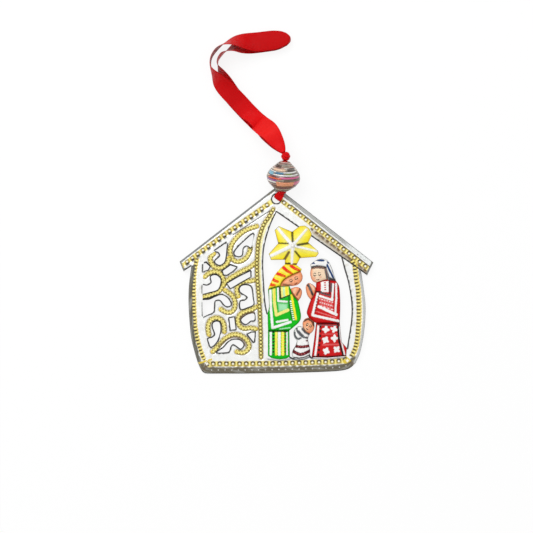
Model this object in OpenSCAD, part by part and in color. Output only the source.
// Hanging ornament: a stable cut and chased from one steel sheet, lying on its turned edge,
// with a rolled paper bead and a ribbon loop at the peak. Front faces up, peak towards +Y.

/* [House] */
// Width across the tips of the eaves
eave_span = 95.4; // [84:0.2:108]
// Height from the base edge to the peak of the roof
house_h = 90.6; // [80:0.2:102]

/* [Sheet] */
// Thickness of the steel sheet
sheet_t = 0.9; // [0.6:0.05:1.1]
// Depth that the edge of the sheet is turned down
rim_depth = 4; // [3.4:0.1:5]
// Spread of the turned edge along the left slope of the roof and the walls
rim_run = 1.6; // [1.3:0.1:1.9]
// Spread of the turned edge along the right slope of the roof
right_rim_run = 2.4; // [2:0.1:2.8]
// Spread of the turned edge at the ends of the eaves
eave_rim_run = 1.2; // [0.8:0.1:1.6]
// Spread of the turned edge along the base
base_rim_run = 3; // [2.4:0.1:3.4]
// Height of the raw cut edge at the foot of the turned rim
cut_edge = 0.8; // [0.5:0.1:1.2]
// Height that the rim is eased up at the peak, for the ribbon to pass under
peak_ease = 1.5; // [1.2:0.1:1.8]

/* [Bosses] */
// Diameter of a boss
boss_d = 2.4; // [1.8:0.1:2.8]
// Height of a boss
boss_h = 0.9; // [0.5:0.1:1.1]
// Pitch of the bosses along the roof
roof_pitch = 3.3; // [2.9:0.1:4.5]
// Pitch of the bosses along the walls
wall_pitch = 3.3; // [2.9:0.1:4.5]
// Pitch of the bosses along the base
base_pitch = 3.4; // [2.9:0.1:4.5]

/* [Chased work] */
// Height that the figures are raised from the back
figure_relief = 1.4; // [0.6:0.1:2.2]
// Height of the middle of the star
star_relief = 1.8; // [0.8:0.1:2.6]
// Width of a raised scroll line
scroll_w = 1.8; // [1:0.1:2.2]
// Height of a raised scroll line
scroll_h = 0.35; // [0.2:0.05:0.6]

/* [Hanger] */
// Diameter of the hole below the peak
hole_d = 4.2; // [4:0.1:4.8]
// Width of the ribbon
ribbon_w = 9.5; // [7:0.5:12]
// Thickness of the ribbon
ribbon_t = 0.4; // [0.25:0.05:0.6]
// Width of a gathered strand of ribbon
strand_w = 3; // [2.4:0.1:3.2]
// Thickness of a gathered strand of ribbon
strand_t = 0.5; // [0.3:0.05:0.6]
// Gap between the two legs of the ribbon loop
leg_gap = 3.8; // [3.4:0.1:5]
// Diameter of the bead at its equator
bead_d = 16.3; // [12:0.1:18]
// Length of the bead
bead_l = 14.5; // [11:0.1:16]
// Diameter of the bead's ends
bead_end_d = 4.6; // [4.4:0.1:5.4]
// Number of paper steps on each half of the bead
bead_steps = 7; // [4:1:10]
// Diameter of the ribbon gathered inside the bead
neck_d = 2.8; // [2.2:0.1:3]
// Running gap between pieces that move on each other
clearance = 0.3; // [0.2:0.05:0.4]
// Diameter of the ribbon's knot
knot_d = 4.8; // [4:0.1:6]

/* [Hidden] */
$fn = 48;

// Roof outline as drawn, from the right eave over the peak to the left eave
roof_half = [[9, 84.2], [2.2, 89.4], [1, 90.3]];
roof_drawn = concat([[47.7, 53.9]], roof_half, [[0, 90.6]],
    [for (i = [2 : -1 : 0]) [-roof_half[i].x, roof_half[i].y]], [[-47.7, 54.3]]);
// The drawing's own width and height, which are stretched to the house
field_w = roof_drawn[0].x - roof_drawn[8].x;
field_h = roof_drawn[4].y;
sheet_top = rim_depth;
sheet_back = rim_depth - sheet_t;
// Flat left between the crest of a rim and the bosses beside it
boss_gap = boss_d / 16;
// Room that a row of bosses keeps at its ends
boss_margin = 0.8 * boss_d;
// Extra room where a row runs into a slanting mitre
mitre_room = 0.7 * boss_d;
curve_steps = 3;
edge_steps = 2;

function unit(v) = v / norm(v);
function mix(a, b, t) = a + (b - a) * t;
function last(v) = v[len(v) - 1];
function backwards(v) = [for (i = [len(v) - 1 : -1 : 0]) v[i]];
function at(p) = [p.x * eave_span / field_w, p.y * house_h / field_h];
function drawn(v) = [for (p = v) at(p)];
function flat3(p, z) = [p.x, p.y, z];

// Smooth curve through guide points: a span between b and c, with neighbours a and d
function span_point(a, b, c, d, t) = 0.5 * (2 * b + (c - a) * t + (2 * a - 5 * b + 4 * c - d) * t * t
    + (3 * b - a - 3 * c + d) * t * t * t);
function smooth(p, steps) = let (last = len(p) - 1) [
    for (i = [0 : last - 1], s = [0 : steps - 1])
        span_point(p[max(i - 1, 0)], p[i], p[i + 1], p[min(i + 2, last)], s / steps),
    p[last]];
function smooth_ring(p, steps) = let (n = len(p)) [
    for (i = [0 : n - 1], s = [0 : steps - 1])
        span_point(p[(i + n - 1) % n], p[i], p[(i + 1) % n], p[(i + 2) % n], s / steps)];

// Travel along a line of points: direction, the side to the left, distance and place at a distance
function heading(p, i) = unit(p[min(i + 1, len(p) - 1)] - p[max(i - 1, 0)]);
function leftward(p, i) = let (t = heading(p, i)) [-t.y, t.x];
function offset_line(p, d) = [for (i = [0 : len(p) - 1]) p[i] + leftward(p, i) * d];
function run_lengths(p) = [for (i = 0, s = 0; i < len(p);
    s = i + 1 < len(p) ? s + norm(p[i + 1] - p[i]) : s, i = i + 1) s];
function place_along(p, s) = let (l = run_lengths(p), k = [0 : len(p) - 1])
    [lookup(s, [for (i = k) [l[i], p[i].x]]), lookup(s, [for (i = k) [l[i], p[i].y]])];
// Ring of curves that follow each other, end to end
function chain(curves) = [for (c = curves, i = [1 : len(c) - 1]) c[i]];
function line_at_x(a, b, x) = mix(a, b, (x - a.x) / (b.x - a.x));

// Roof with its straight lower edges
roof_outer = drawn(roof_drawn);
roof_peak_in = at([0, 78.5]);
eave_in_right = at([44.6, 47.5]);
eave_in_left = at([-45.7, 49.5]);
roof_edge = concat([eave_in_right], roof_outer, [eave_in_left]);
roof_lift = [for (share = [0, 0, 0.35, 0.8, 1, 1, 1, 0.8, 0.35, 0, 0]) share * peak_ease];
function under_left(x) = line_at_x(roof_peak_in, eave_in_left, at([x, 0]).x);
function under_right(x) = line_at_x(roof_peak_in, eave_in_right, at([x, 0]).x);
hole_at = at([0, 85]);

// Walls and base, outer edges and inner edges; the base carries the feet of the figures
left_wall_outer = smooth(concat([under_left(-41.9)], drawn([[-43, 43.4], [-43.3, 36.5], [-43.1, 29.6],
    [-42.6, 22.7], [-41.6, 15.9], [-39.4, 7.3], [-36.6, 0.3]])), edge_steps);
left_wall_inner = smooth(concat([under_left(-35.5)],
    drawn([[-36, 46], [-36.2, 36], [-35.9, 27], [-34.5, 18], [-32.4, 8.6]])), edge_steps);
base_outer = smooth(drawn([[-36.6, 0.3], [-29, 0], [-15, 0], [5, 0.4], [22, 0.7], [31.5, 1.1], [36, 2.1],
    [38.9, 4.3]]), edge_steps);
left_skirt_foot = drawn([[-4.2, 8.2], [-2.2, 6.9], [1.4, 6.3], [4.8, 6.7], [6.6, 7.8]]);
child_foot = drawn([[8.3, 7], [10.6, 6.6], [13.4, 7], [16.5, 8.4]]);
right_skirt_foot = drawn([[17.2, 7.4], [25, 7.2], [34.2, 8]]);
base_inner = concat([last(left_wall_inner)], drawn([[-9.6, 8.8]]), left_skirt_foot, child_foot,
    right_skirt_foot);
right_wall_outer = smooth(concat(drawn([[38.9, 4.3], [41.2, 9.7], [42.9, 17.9], [43.7, 26], [43.8, 33],
    [43.2, 39], [42.3, 45.4]]), [under_right(41.6)]), edge_steps);
right_wall_inner = smooth(concat(drawn([[34.2, 8], [34.5, 12], [35.3, 17], [36.5, 25], [36.8, 31],
    [36.3, 37.2], [35, 44.4], [33.2, 50.6]]), [under_right(31.7)]), edge_steps);
left_mitre_crest = base_outer[0] + unit(base_inner[0] - base_outer[0]) * base_rim_run;
right_mitre_crest = last(base_outer) + unit(last(base_inner) - last(base_outer)) * base_rim_run;

// Arch between the lattice and the open stable, from the roof down to the base
arch_left = smooth(concat([under_left(-6.3)], drawn([[-9.6, 70], [-11.8, 63], [-12.3, 53], [-11.6, 43],
    [-10.7, 34], [-9.9, 21], [-9.6, 8.8]])), edge_steps);
arch_right_upper = smooth(concat([roof_peak_in], drawn([[-3.1, 71.6], [-5.8, 62], [-6.5, 53], [-6, 43],
    [-5.4, 34.4], [-4.4, 29]])), edge_steps);
robe_arch_seam = drawn([[-4.4, 29], [-4.2, 20.5]]);
arch_line = smooth(drawn([[-3.6, 75.4], [-6.7, 70.6], [-8.8, 63], [-9.4, 53], [-8.9, 43], [-8.2, 34],
    [-7.6, 21], [-7.6, 9.5]]), edge_steps);

// Openings pierced through the lattice
lattice_holes = [
    [[-11.5, 67.7], [-15.8, 64.3], [-18.8, 61.3], [-20.5, 58.9], [-20.1, 57.5], [-18.4, 57], [-17, 57.8],
        [-16.6, 60.8], [-15.4, 62.1], [-14, 62.1], [-12.6, 61.3], [-11.8, 63.6]],
    [[-24.5, 63.9], [-27.5, 61.9], [-30.3, 59.8], [-28.4, 59], [-27.6, 57], [-30, 54.6], [-29.2, 53.2],
        [-27.4, 52.8], [-25.6, 54.2], [-25, 56.4], [-24.6, 60.2]],
    [[-37.4, 53], [-34.6, 53.6], [-32.8, 51.9], [-33.6, 50.4], [-37.4, 49]],
    [[-26.3, 49.7], [-22.6, 52.4], [-19.7, 51.5], [-21.5, 49.7], [-24.4, 47.9], [-25.8, 48]],
    [[-37.6, 42.8], [-34, 42.5], [-31.8, 44], [-32.2, 46.7], [-30.8, 47.6], [-29, 47.3], [-27.5, 45.6],
        [-27.7, 43], [-29, 40.6], [-32.7, 39.4], [-37.6, 38.6]],
    [[-24.1, 43.5], [-18.4, 46.8], [-12.9, 49.5], [-12.8, 46.9], [-17.7, 44.2], [-22.5, 41.3]],
    [[-17.3, 39.2], [-18, 40.7], [-17.2, 42.2], [-15.1, 42.7], [-12.8, 42], [-12, 39.4], [-11.7, 36.4],
        [-11.4, 33.4], [-14.4, 31.9], [-17.4, 31.2], [-17.6, 34.6], [-15.4, 35.2], [-14.1, 37]],
    [[-37.6, 34.6], [-33, 35.6], [-30.1, 36.9], [-27.1, 37.9], [-24.5, 36.8], [-22.8, 34.6], [-22.7, 32.8],
        [-25, 32.7], [-27.3, 35.3], [-29, 35.7], [-30.4, 34.8], [-30.7, 32], [-31, 29.7], [-33.5, 28.4],
        [-37.4, 27.4]],
    [[-23.3, 26.4], [-21.1, 26.9], [-20.1, 22], [-22.2, 21.1]],
    [[-17.2, 25.8], [-15.8, 27.3], [-13.6, 28.5], [-11, 28.7], [-10.9, 25.8], [-12.8, 25.3], [-14.8, 23.8],
        [-16.5, 24.4]],
    [[-31, 24.1], [-29.3, 24.9], [-27.8, 24], [-27.6, 20], [-29.3, 15.2], [-32, 12.6], [-33, 14.4],
        [-33.4, 16.4], [-31.5, 17], [-30, 18.6], [-31.1, 22]],
    [[-29, 9.9], [-26, 12], [-23.3, 14.9], [-20.7, 16], [-17.8, 15.6], [-16.2, 13.6], [-17.5, 11.7],
        [-19.3, 12.8], [-21.3, 13.9], [-22.6, 12.6], [-23.4, 10.3], [-26, 9.8]],
    [[-14.1, 18.6], [-12.2, 19.5], [-10.7, 19.5], [-10.8, 17.2], [-11.2, 15]]];

// Raised lines that follow the scrolls
scroll_lines = [
    [[-9.8, 71.6], [-15.8, 69.3], [-20.3, 65.2], [-22.6, 60.9], [-22.4, 57.4], [-20.8, 54.9], [-18.1, 54.4],
        [-15.2, 55.9], [-13.3, 58.8]],
    [[-30.8, 58.2], [-32.4, 56.2], [-31.8, 53.4], [-29.8, 51.4], [-27, 51.4], [-24.3, 53.4], [-23.2, 56]],
    [[-35, 47], [-33.2, 48.6], [-30.1, 49.5], [-27.4, 48.4], [-26.1, 46], [-26, 43]],
    [[-13, 51.6], [-17.7, 49.2], [-23.2, 45.9], [-26, 43], [-28, 40], [-31, 38.4], [-35.4, 37]],
    [[-25, 40.2], [-22, 38], [-20.4, 35], [-20.6, 31.4], [-22.4, 29.6], [-24.8, 29.6], [-27.2, 31]],
    [[-13, 44.6], [-16, 44.6], [-18.8, 42.7], [-19.5, 40.2], [-18.8, 37.4]],
    [[-12, 30.6], [-14.4, 30.2], [-17.5, 28.8], [-19, 25.8], [-18.1, 23], [-15.8, 21.6], [-12.8, 21.9]],
    [[-33.1, 18.6], [-33.6, 21.7], [-32.8, 25], [-30, 26.8], [-27, 25.8], [-25.6, 23], [-25.6, 20]],
    [[-31.2, 10.2], [-28.4, 13.2], [-25, 16.8], [-21.4, 18.6], [-17.7, 18.2], [-14.6, 16], [-13.6, 13.4],
        [-14.4, 11], [-16.8, 10.2]]];

// Star: for each arm the two corners of its blunt tip, then the inner corner after it
star_middle = at([7.8, 62.1]);
scarf_star_seam = drawn([[4.1, 53], [9.8, 52.6]]);
star_on_roof = concat([under_right(17)], drawn([[17.3, 67.9], [16.1, 70.5], [14, 71.9], [11.6, 71.8]]),
    [under_right(10.6)]);
star_outline = concat(drawn([[19.4, 56.6], [20.6, 58.2], [20.3, 59.6], [15.6, 63.6]]), star_on_roof,
    drawn([[7.6, 68.9], [1.1, 71.7], [-0.9, 69.7], [0.8, 63.2], [-3.8, 58.1], [-2.7, 55.1], [4.1, 55.2]]),
    scarf_star_seam, drawn([[11.6, 56]]));

// Left figure: edges shared by its painted areas
left_collar_seam = drawn([[6.3, 42.4], [2.1, 42.2]]);
left_scarf_end = at([-4.2, 40.6]);
left_scarf_outer = concat(smooth(concat([left_scarf_end], drawn([[-2.9, 44], [-0.7, 48], [2.3, 51.4]]),
    [scarf_star_seam[0]]), edge_steps), [scarf_star_seam[1]], drawn([[12.4, 50.6]]));
left_scarf_inner = smooth(concat([left_collar_seam[1]],
    drawn([[2.8, 44], [4.5, 45.8], [7, 47.2], [9.6, 48.4], [11.9, 49.4]])), edge_steps);
left_face_front = smooth(drawn([[11.9, 49.4], [12.8, 47.2], [12.3, 44.8], [10.4, 43], [8.2, 42.4],
    [6.3, 42.4]]), edge_steps);
left_hand_seam = smooth(drawn([[10.6, 34.9], [9, 36.8], [7.6, 38.6], [6.9, 41]]), edge_steps);
left_hand_front = smooth(drawn([[6.9, 41], [9.2, 41.8], [11.5, 41.4], [12.5, 39.6], [12, 37], [10.6, 34.9]]),
    edge_steps);
left_robe_back = smooth(concat([left_scarf_end], drawn([[-3.8, 36], [-3.7, 32]]), [robe_arch_seam[0]]),
    edge_steps);
left_waist = drawn([[-4.2, 20.5], [6.3, 20.5]]);
left_robe_front = smooth(drawn([[6.3, 20.5], [8.4, 22.2], [11.2, 24.8], [12, 27.5], [11.5, 31],
    [10.6, 34.9]]), edge_steps);

// Child: swaddling, head and the edge between them
child_seam = smooth(drawn([[16.4, 18.9], [14.2, 20.2], [12.9, 22.4]]), edge_steps);
child_right = smooth(concat([last(child_foot)], drawn([[16.5, 11.2], [15.9, 14], [15.5, 16.5]]),
    [child_seam[0]]), edge_steps);
child_left = smooth(concat([last(child_seam)], drawn([[10.4, 22.5], [8.5, 20.3], [8.6, 17.4], [9.9, 15.6],
    [9.4, 13.4], [8, 11], [7.5, 8.8]]), [child_foot[0]]), edge_steps);
head_robe_seam = drawn([[18.5, 24.7], [15.8, 26.9]]);
child_head_low = smooth(concat([child_seam[0]], drawn([[17.8, 20.2], [18.6, 22.2]]), [head_robe_seam[0]]),
    edge_steps);
child_head_high = smooth(concat([head_robe_seam[1]], drawn([[13.9, 26.2], [12.8, 24.4]]), [last(child_seam)]),
    edge_steps);

// Right figure: edges shared by its painted areas
right_cloth_outer = smooth(drawn([[16.6, 53], [19, 54.8], [21.8, 55.8], [25, 54.9], [27.2, 51],
    [29.2, 44.8]]), edge_steps);
right_cloth_inner = smooth(drawn([[16.9, 50.9], [19.5, 51.6], [22, 51.7], [23.9, 50.6], [24.8, 48.2],
    [25.1, 45.4]]), edge_steps);
right_neck_seam = drawn([[25.1, 45.4], [23.3, 45.2], [19.4, 43.9]]);
right_face_front = smooth(drawn([[16.9, 50.9], [16.5, 48.8], [16.8, 46.6], [17.8, 44.7], [19.4, 43.9]]),
    edge_steps);
right_hand_seam = smooth(drawn([[16.8, 35.6], [18.2, 37.6], [19, 39.6], [19.3, 41.6]]), edge_steps);
right_hand_front = smooth(drawn([[19.3, 41.6], [17.8, 43], [15.8, 43.8], [14.5, 42.6], [14.4, 40.4],
    [15.2, 37.6], [16.8, 35.6]]), edge_steps);
right_robe_low = smooth(concat([head_robe_seam[1]], drawn([[14.8, 29.2], [15.6, 32.4], [16.8, 35.6]])),
    edge_steps);
right_robe_back = smooth(drawn([[31, 24.2], [31.2, 30], [31.2, 36], [30.7, 42], [29.2, 44.8]]), edge_steps);
right_waist = drawn([[31, 24.2], [19.4, 24.2]]);
right_skirt_back = at([31.9, 15]);
right_skirt_front = at([18.4, 16]);

// Bead on the ribbon: its place, its lean to the right and the rise of its knot end
bead_lean = 6;
bead_rise = 12;
bead_from_peak = [3.4, 5.2];
bead_axis = [sin(bead_lean) * cos(bead_rise), cos(bead_lean) * cos(bead_rise), sin(bead_rise)];
bead_equator = -0.6;
bead_drop = max([for (p = bead_profile()) p[0] * cos(bead_rise) - p[1] * sin(bead_rise)]);
bead_at = flat3(roof_outer[4] + bead_from_peak, bead_drop);
neck_below_bead = 0.75;
neck_above_bead = 0.25;
knot_flat = 0.15;
neck_foot = -bead_l / 2 - neck_below_bead;
knot_seat = bead_l / 2 + neck_above_bead;
knot_middle = knot_seat + knot_d / 2 - knot_flat;
knot_at = bead_at + bead_axis * knot_middle;
neck_foot_at = bead_at + bead_axis * neck_foot;

// Ribbon strand that wraps the sheet beside the peak: from the front it goes down the hole, under the
// eased rim and up round the edge of the right slope
strand_reach = neck_d / 2 + clearance + strand_t;
strand_low = strand_t / 2 + 0.15;
strand_front_end = neck_foot_at + unit([-2.4, -3.05, -2.3]) * strand_reach;
strand_back_end = neck_foot_at + unit([1.6, -0.8, -2]) * (strand_reach + strand_t / 2);
strand_edge_at = mix(roof_outer[2], roof_outer[1], 0.35);
strand_side = flat3(unit(roof_outer[1] - roof_outer[2]), 0);
strand_through_hole = [for (p = [[0.5, 0.6, sheet_top + 0.75], [0.2, 0.05, sheet_top - 0.4],
    [0.6, 0.35, sheet_back - 0.9], [2, 1.15, strand_low + 0.9]]) flat3(hole_at, 0) + p];
strand_round_edge = [for (p = [[-0.75, -0.9, strand_low + 0.1], [0.2, 0.3, strand_low],
    [0.5, 0.65, strand_low + 0.8], [0.5, 0.7, sheet_top - 1.5], [0.1, 0.3, sheet_top]])
    flat3(strand_edge_at, 0) + p];
strand_route = concat([strand_front_end], strand_through_hole, strand_round_edge, [strand_back_end]);

// Ribbon loop, centre line of its two legs from the knot: x, y, height of lift, roll, gap share, width share
loop_route = [
    [-1.6, 2.75, 9, 0, 0.22, 0.36],
    [-3.2, 5.4, 6.4, 0, 0.5, 0.62],
    [-6, 10, 3.2, 0, 0.9, 0.95],
    [-9.4, 15.4, 1.2, 0, 1, 1],
    [-13.4, 20.8, 0.2, 0, 1, 1],
    [-18.2, 25.8, 0, 0, 1, 1],
    [-23.6, 31, 0, 6, 1, 1],
    [-28.6, 35.8, 0, 28, 1, 1],
    [-32.6, 39.9, 0, 62, 1, 1],
    [-34.8, 44, 0, 88, 1, 1],
    [-34.6, 48.4, 0, 90, 1, 1],
    [-31.6, 52.4, 0, 88, 1, 1],
    [-26.8, 54.7, 0, 64, 1, 1],
    [-21.2, 55.6, 0, 30, 1, 1],
    [-15.2, 56.1, 0, 6, 1, 1],
    [-8.4, 56.6, 0, 0, 1, 1],
    [-2.4, 57, 0, 0, 1, 1],
    [0.8, 57.1, 0, 0, 1, 1]];
loop_steps = 2;
bight_steps = 4;

// Solid through a row of closed sections, with flat ends
module loft(sections) {
    m = len(sections[0]);
    last = (len(sections) - 1) * m;
    walls = [for (k = [0 : len(sections) - 2], j = [0 : m - 1]) let (a = k * m + j, b = k * m + (j + 1) % m)
        each [[a, b, b + m], [a, b + m, a + m]]];
    ends = [for (j = [1 : m - 2]) each [[0, j + 1, j], [last, last + j, last + j + 1]]];
    polyhedron([for (s = sections) each s], concat(walls, ends));
}

// Turned-down rim between a cut edge and the crest line where the sheet is flat
module rim(edge, crest, lift) {
    loft([for (i = [0 : len(edge) - 1])
        let (o = edge[i], c = crest[i], foot = o + unit(c - o) * sheet_t, z = lift[i])
        [flat3(o, z), flat3(o, z + cut_edge), flat3(c, sheet_top), flat3(c, sheet_back), flat3(foot, z)]]);
}

// Flat part of the sheet
module flat_sheet(outline) {
    translate([0, 0, sheet_back])
        linear_extrude(sheet_t)
            polygon(outline);
}

// Domed boss punched up from the back
module boss() {
    r = boss_d / 2;
    dome_r = (r * r + boss_h * boss_h) / (2 * boss_h);
    sink = sheet_t / 4;
    translate([0, 0, sheet_top])
        intersection() {
            translate([0, 0, boss_h - dome_r])
                sphere(dome_r);
            translate([0, 0, -sink])
                cylinder(h = boss_h + sink, r = r);
        }
}

// Row of bosses along a line, which stops short of its end by a trim, left out round the hanging hole
module boss_row(line, pitch, trim = 0) {
    length = last(run_lengths(line)) - trim;
    count = floor((length - 2 * boss_margin) / pitch);
    start = (length - count * pitch) / 2;
    for (i = [0 : count]) {
        p = place_along(line, start + i * pitch);
        if (norm(p - hole_at) > (hole_d + boss_d) / 2 + 2 * sheet_t)
            translate(p)
                boss();
    }
}

// Wall or base: a rim, a flat band inside it and a row of bosses beside the crest
module edge_bar(edge, crest, inner, pitch, trim = 0) {
    rim(edge, crest, [for (p = edge) 0]);
    flat_sheet(concat(crest, backwards(inner)));
    boss_row(offset_line(crest, boss_d / 2 + boss_gap), pitch, trim);
}

// Line where the turned rim meets the flat sheet, with its two ends given
function crest_line(edge, run, start, end) = let (line = offset_line(edge, run))
    concat([start], [for (i = [1 : len(edge) - 2]) line[i]], [end]);

// Area raised from the back: its surface climbs from the outline to the middle and the back follows it
module embossed(outline, middle, relief, rings = [[1, 0], [0.86, 0.7], [0.6, 1]]) {
    n = len(outline);
    k = len(rings);
    surface = concat([for (r = rings, p = outline) flat3(mix(middle, p, r[0]), relief * r[1])],
        [flat3(middle, relief)]);
    bottom = len(surface);
    front = [for (j = [0 : k - 1], i = [0 : n - 1])
        let (a = j * n + i, b = j * n + (i + 1) % n)
        each j == k - 1 ? [[a, k * n, b]] : [[a, a + n, b + n], [a, b + n, b]]];
    sides = [for (i = [0 : n - 1]) let (a = i, b = (i + 1) % n)
        each [[a, b, b + bottom], [a, b + bottom, a + bottom]]];
    shell_solid(surface, front, sides);
}

// Band raised from the back between two lines of equally many points, the second on the left
module embossed_band(right, left, relief) {
    across = [[0, 0], [0.22, 0.8], [0.5, 1], [0.78, 0.8], [1, 0]];
    m = len(across);
    last = len(right) - 1;
    surface = [for (i = [0 : last], s = across)
        flat3(mix(right[i], left[i], s[0]), i == 0 || i == last ? 0 : relief * s[1])];
    bottom = len(surface);
    front = [for (i = [0 : last - 1], j = [0 : m - 2]) let (a = i * m + j)
        each [[a, a + 1, a + m + 1], [a, a + m + 1, a + m]]];
    rim_walk = concat([for (i = [0 : last - 1]) i * m], [for (j = [0 : m - 2]) last * m + j],
        [for (i = [last : -1 : 1]) i * m + m - 1], [for (j = [m - 1 : -1 : 1]) j]);
    sides = [for (i = [0 : len(rim_walk) - 1])
        let (a = rim_walk[i], b = rim_walk[(i + 1) % len(rim_walk)])
        each [[a, b, b + bottom], [a, b + bottom, a + bottom]]];
    shell_solid(surface, front, sides);
}

// Sheet of even thickness whose front surface and side faces are given
module shell_solid(surface, front, sides) {
    bottom = len(surface);
    back = [for (f = front) [f[0] + bottom, f[2] + bottom, f[1] + bottom]];
    polyhedron([for (z = [sheet_top, sheet_back], p = surface) p + [0, 0, z]], concat(front, back, sides));
}

// Outline of a line drawn with a given width
module drawn_line(line, width) {
    polygon(concat(offset_line(line, -width / 2), backwards(offset_line(line, width / 2))));
}

// Flat ribbon through stations, each a middle, a half width and a half thickness
module strap(stations) {
    loft([for (s = stations)
        [s[0] + s[1] - s[2], s[0] + s[1] + s[2], s[0] - s[1] + s[2], s[0] - s[1] - s[2]]]);
}

// The house is drawn from its base edge, and its origin is at the middle of its back
module placed() {
    translate([0, -house_h / 2, 0])
        children();
}

// A piece on the bead's axis
module on_bead_axis() {
    translate(bead_at)
        rotate([0, 0, -bead_lean])
            rotate([bead_rise - 90, 0, 0])
                children();
}

module roof() {
    right_line = offset_line(roof_edge, right_rim_run);
    left_line = offset_line(roof_edge, rim_run);
    peak = (len(roof_edge) - 1) / 2;
    right_crest = [for (i = [1 : peak - 1]) right_line[i]];
    left_crest = [for (i = [peak + 1 : 2 * peak - 1]) left_line[i]];
    crest = concat([eave_in_right + unit(roof_peak_in - eave_in_right) * eave_rim_run], right_crest,
        [mix(right_line[peak], left_line[peak], 0.5)], left_crest,
        [eave_in_left + unit(roof_peak_in - eave_in_left) * eave_rim_run]);
    color("gold") placed()
        difference() {
            union() {
                rim(roof_edge, crest, roof_lift);
                flat_sheet(concat(crest, [roof_peak_in], backwards(star_on_roof)));
                boss_row(offset_line(right_crest, boss_d / 2 + boss_gap), roof_pitch);
                boss_row(offset_line(left_crest, boss_d / 2 + boss_gap), roof_pitch);
            }
            translate(flat3(hole_at, 0))
                cylinder(h = 2 * rim_depth, d = hole_d);
        }
}

module left_wall() {
    top = left_wall_outer[0];
    crest = crest_line(left_wall_outer, rim_run, top + unit(left_wall_inner[0] - top) * rim_run,
        left_mitre_crest);
    color("gold") placed()
        edge_bar(left_wall_outer, crest, left_wall_inner, wall_pitch, mitre_room);
}

module right_wall() {
    top = last(right_wall_outer);
    crest = crest_line(right_wall_outer, rim_run, right_mitre_crest,
        top + unit(last(right_wall_inner) - top) * rim_run);
    color("gold") placed()
        edge_bar(right_wall_outer, crest, right_wall_inner, wall_pitch);
}

module base_sill() {
    crest = crest_line(base_outer, base_rim_run, left_mitre_crest, right_mitre_crest);
    color("gold") placed()
        edge_bar(base_outer, crest, base_inner, base_pitch);
}

module arch_band() {
    color("silver") placed() {
        flat_sheet(chain([arch_left, [last(arch_left), left_skirt_foot[0]],
            [left_skirt_foot[0], left_waist[0]], backwards(robe_arch_seam), backwards(arch_right_upper),
            [roof_peak_in, arch_left[0]]]));
        translate([0, 0, sheet_top])
            linear_extrude(scroll_h)
                drawn_line(arch_line, scroll_w);
    }
}

module lattice_outline() {
    difference() {
        polygon(chain([left_wall_inner, [base_inner[0], base_inner[1]], backwards(arch_left),
            [arch_left[0], left_wall_inner[0]]]));
        for (h = lattice_holes)
            polygon(smooth_ring(drawn(h), curve_steps));
    }
}

module scroll_lattice() {
    color("silver") placed() {
        translate([0, 0, sheet_back])
            linear_extrude(sheet_t)
                lattice_outline();
        translate([0, 0, sheet_top])
            linear_extrude(scroll_h)
                intersection() {
                    lattice_outline();
                    union()
                        for (s = scroll_lines)
                            drawn_line(smooth(drawn(s), edge_steps), scroll_w);
                }
    }
}

module star() {
    color("yellow") placed()
        embossed(star_outline, star_middle, star_relief, [[1, 0]]);
}

module left_scarf() {
    color("goldenrod") placed()
        embossed_band(left_scarf_inner, left_scarf_outer, figure_relief);
}

module left_face() {
    color("sienna") placed()
        embossed(chain([backwards(left_collar_seam), backwards(left_face_front),
            backwards(left_scarf_inner)]), at([8, 45.2]), figure_relief);
}

module left_hands() {
    color("sienna") placed()
        embossed(chain([backwards(left_hand_front), backwards(left_hand_seam)]), at([9.8, 38.8]),
            figure_relief);
}

module left_robe() {
    color("green") placed()
        embossed(chain([left_robe_back, robe_arch_seam, left_waist, left_robe_front, left_hand_seam,
            [last(left_hand_seam), left_collar_seam[0]], left_collar_seam,
            [last(left_collar_seam), left_scarf_end]]), at([3, 31]), figure_relief);
}

module left_skirt() {
    color("darkgreen") placed()
        embossed(concat(left_skirt_foot, backwards(left_waist)), at([1.2, 14]), figure_relief);
}

module right_head_cloth() {
    color("aliceblue") placed()
        embossed_band(right_cloth_inner, right_cloth_outer, figure_relief);
}

module right_face() {
    color("tan") placed()
        embossed(chain([right_face_front, backwards(right_neck_seam), backwards(right_cloth_inner)]),
            at([20.4, 47.8]), figure_relief);
}

module right_hands() {
    color("tan") placed()
        embossed(chain([right_hand_seam, right_hand_front]), at([16.6, 40.4]), figure_relief);
}

module right_robe() {
    color("crimson") placed()
        embossed(chain([backwards(right_waist), right_robe_back, [last(right_robe_back), right_neck_seam[0]],
            right_neck_seam, [last(right_neck_seam), last(right_hand_seam)], backwards(right_hand_seam),
            backwards(right_robe_low), backwards(head_robe_seam), [head_robe_seam[0], last(right_waist)]]),
            at([24, 34]), figure_relief);
}

module right_skirt() {
    color("firebrick") placed()
        embossed(concat(right_skirt_foot, [right_wall_inner[1], right_wall_inner[2], right_skirt_back],
            right_waist, [right_skirt_front]), at([25.2, 15.6]), figure_relief);
}

module child_head() {
    color("peru") placed()
        embossed(chain([child_head_low, head_robe_seam, child_head_high, backwards(child_seam)]),
            at([15.7, 23]), figure_relief);
}

module child_swaddle() {
    color("lightgray") placed()
        embossed(chain([child_foot, child_right, child_seam, child_left]), at([12.6, 14.8]), figure_relief);
}

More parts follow.
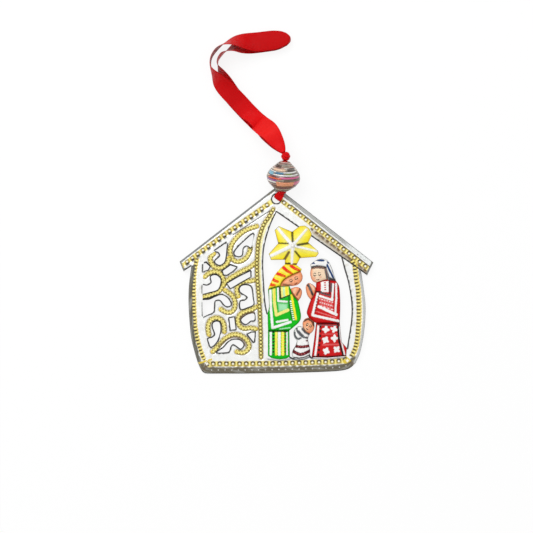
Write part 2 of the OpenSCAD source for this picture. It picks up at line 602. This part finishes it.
// Rolled paper: the strip narrows as it winds, so each half climbs in steps to the equator
function bead_profile() = let (bore_r = neck_d / 2 + clearance, end_r = bead_end_d / 2, half = bead_l / 2)
    concat([[bore_r, -half]],
        [for (i = [0 : bead_steps - 1])
            let (r = mix(end_r, bead_d / 2, sin(90 * i / (bead_steps - 1))),
                a = mix(-half, bead_equator, i / bead_steps),
                b = mix(-half, bead_equator, (i + 1) / bead_steps))
            each [[r, a], [r, b]]],
        [for (i = [bead_steps - 1 : -1 : 0])
            let (r = mix(end_r, bead_d / 2, sin(90 * i / (bead_steps - 1))),
                a = mix(half, bead_equator, (i + 1) / bead_steps),
                b = mix(half, bead_equator, i / bead_steps))
            each [[r, a], [r, b]]],
        [[bore_r, half]]);

module paper_bead() {
    color("rosybrown") placed()
        on_bead_axis()
            rotate_extrude()
                polygon(bead_profile());
}

module ribbon_neck() {
    color("red") placed()
        on_bead_axis() {
            translate([0, 0, neck_foot])
                sphere(d = neck_d);
            translate([0, 0, neck_foot])
                cylinder(h = knot_seat - neck_foot, d = neck_d);
        }
}

module ribbon_knot() {
    wrap_r = knot_d / 6;
    color("red") placed()
        on_bead_axis()
            intersection() {
                translate([0, 0, knot_middle])
                    union() {
                        sphere(d = knot_d);
                        rotate([55, 0, 20])
                            rotate_extrude()
                                translate([knot_d / 2 - wrap_r / 2, 0])
                                    circle(wrap_r);
                    }
                translate([0, 0, knot_seat])
                    cylinder(h = 2 * knot_d, d = 3 * knot_d);
            }
}

module ribbon_stitch() {
    route = smooth(strand_route, edge_steps);
    color("red") placed()
        strap([for (i = [0 : len(route) - 1])
            let (d = heading(route, i), across = unit(strand_side - d * (d * strand_side)))
            [route[i], across * strand_w / 2, cross(across, d) * strand_t / 2]]);
}

// Stations of one leg of the loop: middle, direction across, direction from the lower leg to the upper,
// half gap, half width
function loop_stations() = let (
        route = smooth(loop_route, loop_steps),
        middles = [for (r = route)
            let (half_w = r[5] * ribbon_w / 2, half_gap = r[4] * leg_gap / 2,
                rise = half_w * abs(sin(r[3])) + half_gap * cos(r[3]) + ribbon_t)
            flat3(knot_at, 0) + [r[0], r[1], r[2] + rise]])
    [for (i = [0 : len(route) - 1])
        let (d = heading(middles, i), level = unit(cross(d, [0, 0, 1])), roll = route[i][3],
            across = level * cos(roll) + cross(level, d) * sin(roll))
        [middles[i], across, cross(across, d), route[i][4] * leg_gap / 2, route[i][5] * ribbon_w / 2]];

module ribbon_loop() {
    stations = loop_stations();
    tip = last(stations);
    along = cross(tip[2], tip[1]);
    color("red") placed()
        strap(concat(
            [for (s = stations) [s[0] - s[2] * s[3], s[1] * s[4], s[2] * ribbon_t / 2]],
            [for (k = [1 : bight_steps - 1]) let (turn = 180 * k / bight_steps)
                [tip[0] + (along * sin(turn) - tip[2] * cos(turn)) * tip[3], tip[1] * tip[4],
                    (tip[2] * cos(turn) - along * sin(turn)) * ribbon_t / 2]],
            [for (s = backwards(stations)) [s[0] + s[2] * s[3], s[1] * s[4], -s[2] * ribbon_t / 2]]));
}

roof();
left_wall();
right_wall();
base_sill();
arch_band();
scroll_lattice();
star();
left_scarf();
left_face();
left_hands();
left_robe();
left_skirt();
right_head_cloth();
right_face();
right_hands();
right_robe();
right_skirt();
child_head();
child_swaddle();
paper_bead();
ribbon_stitch();
ribbon_neck();
ribbon_knot();
ribbon_loop();
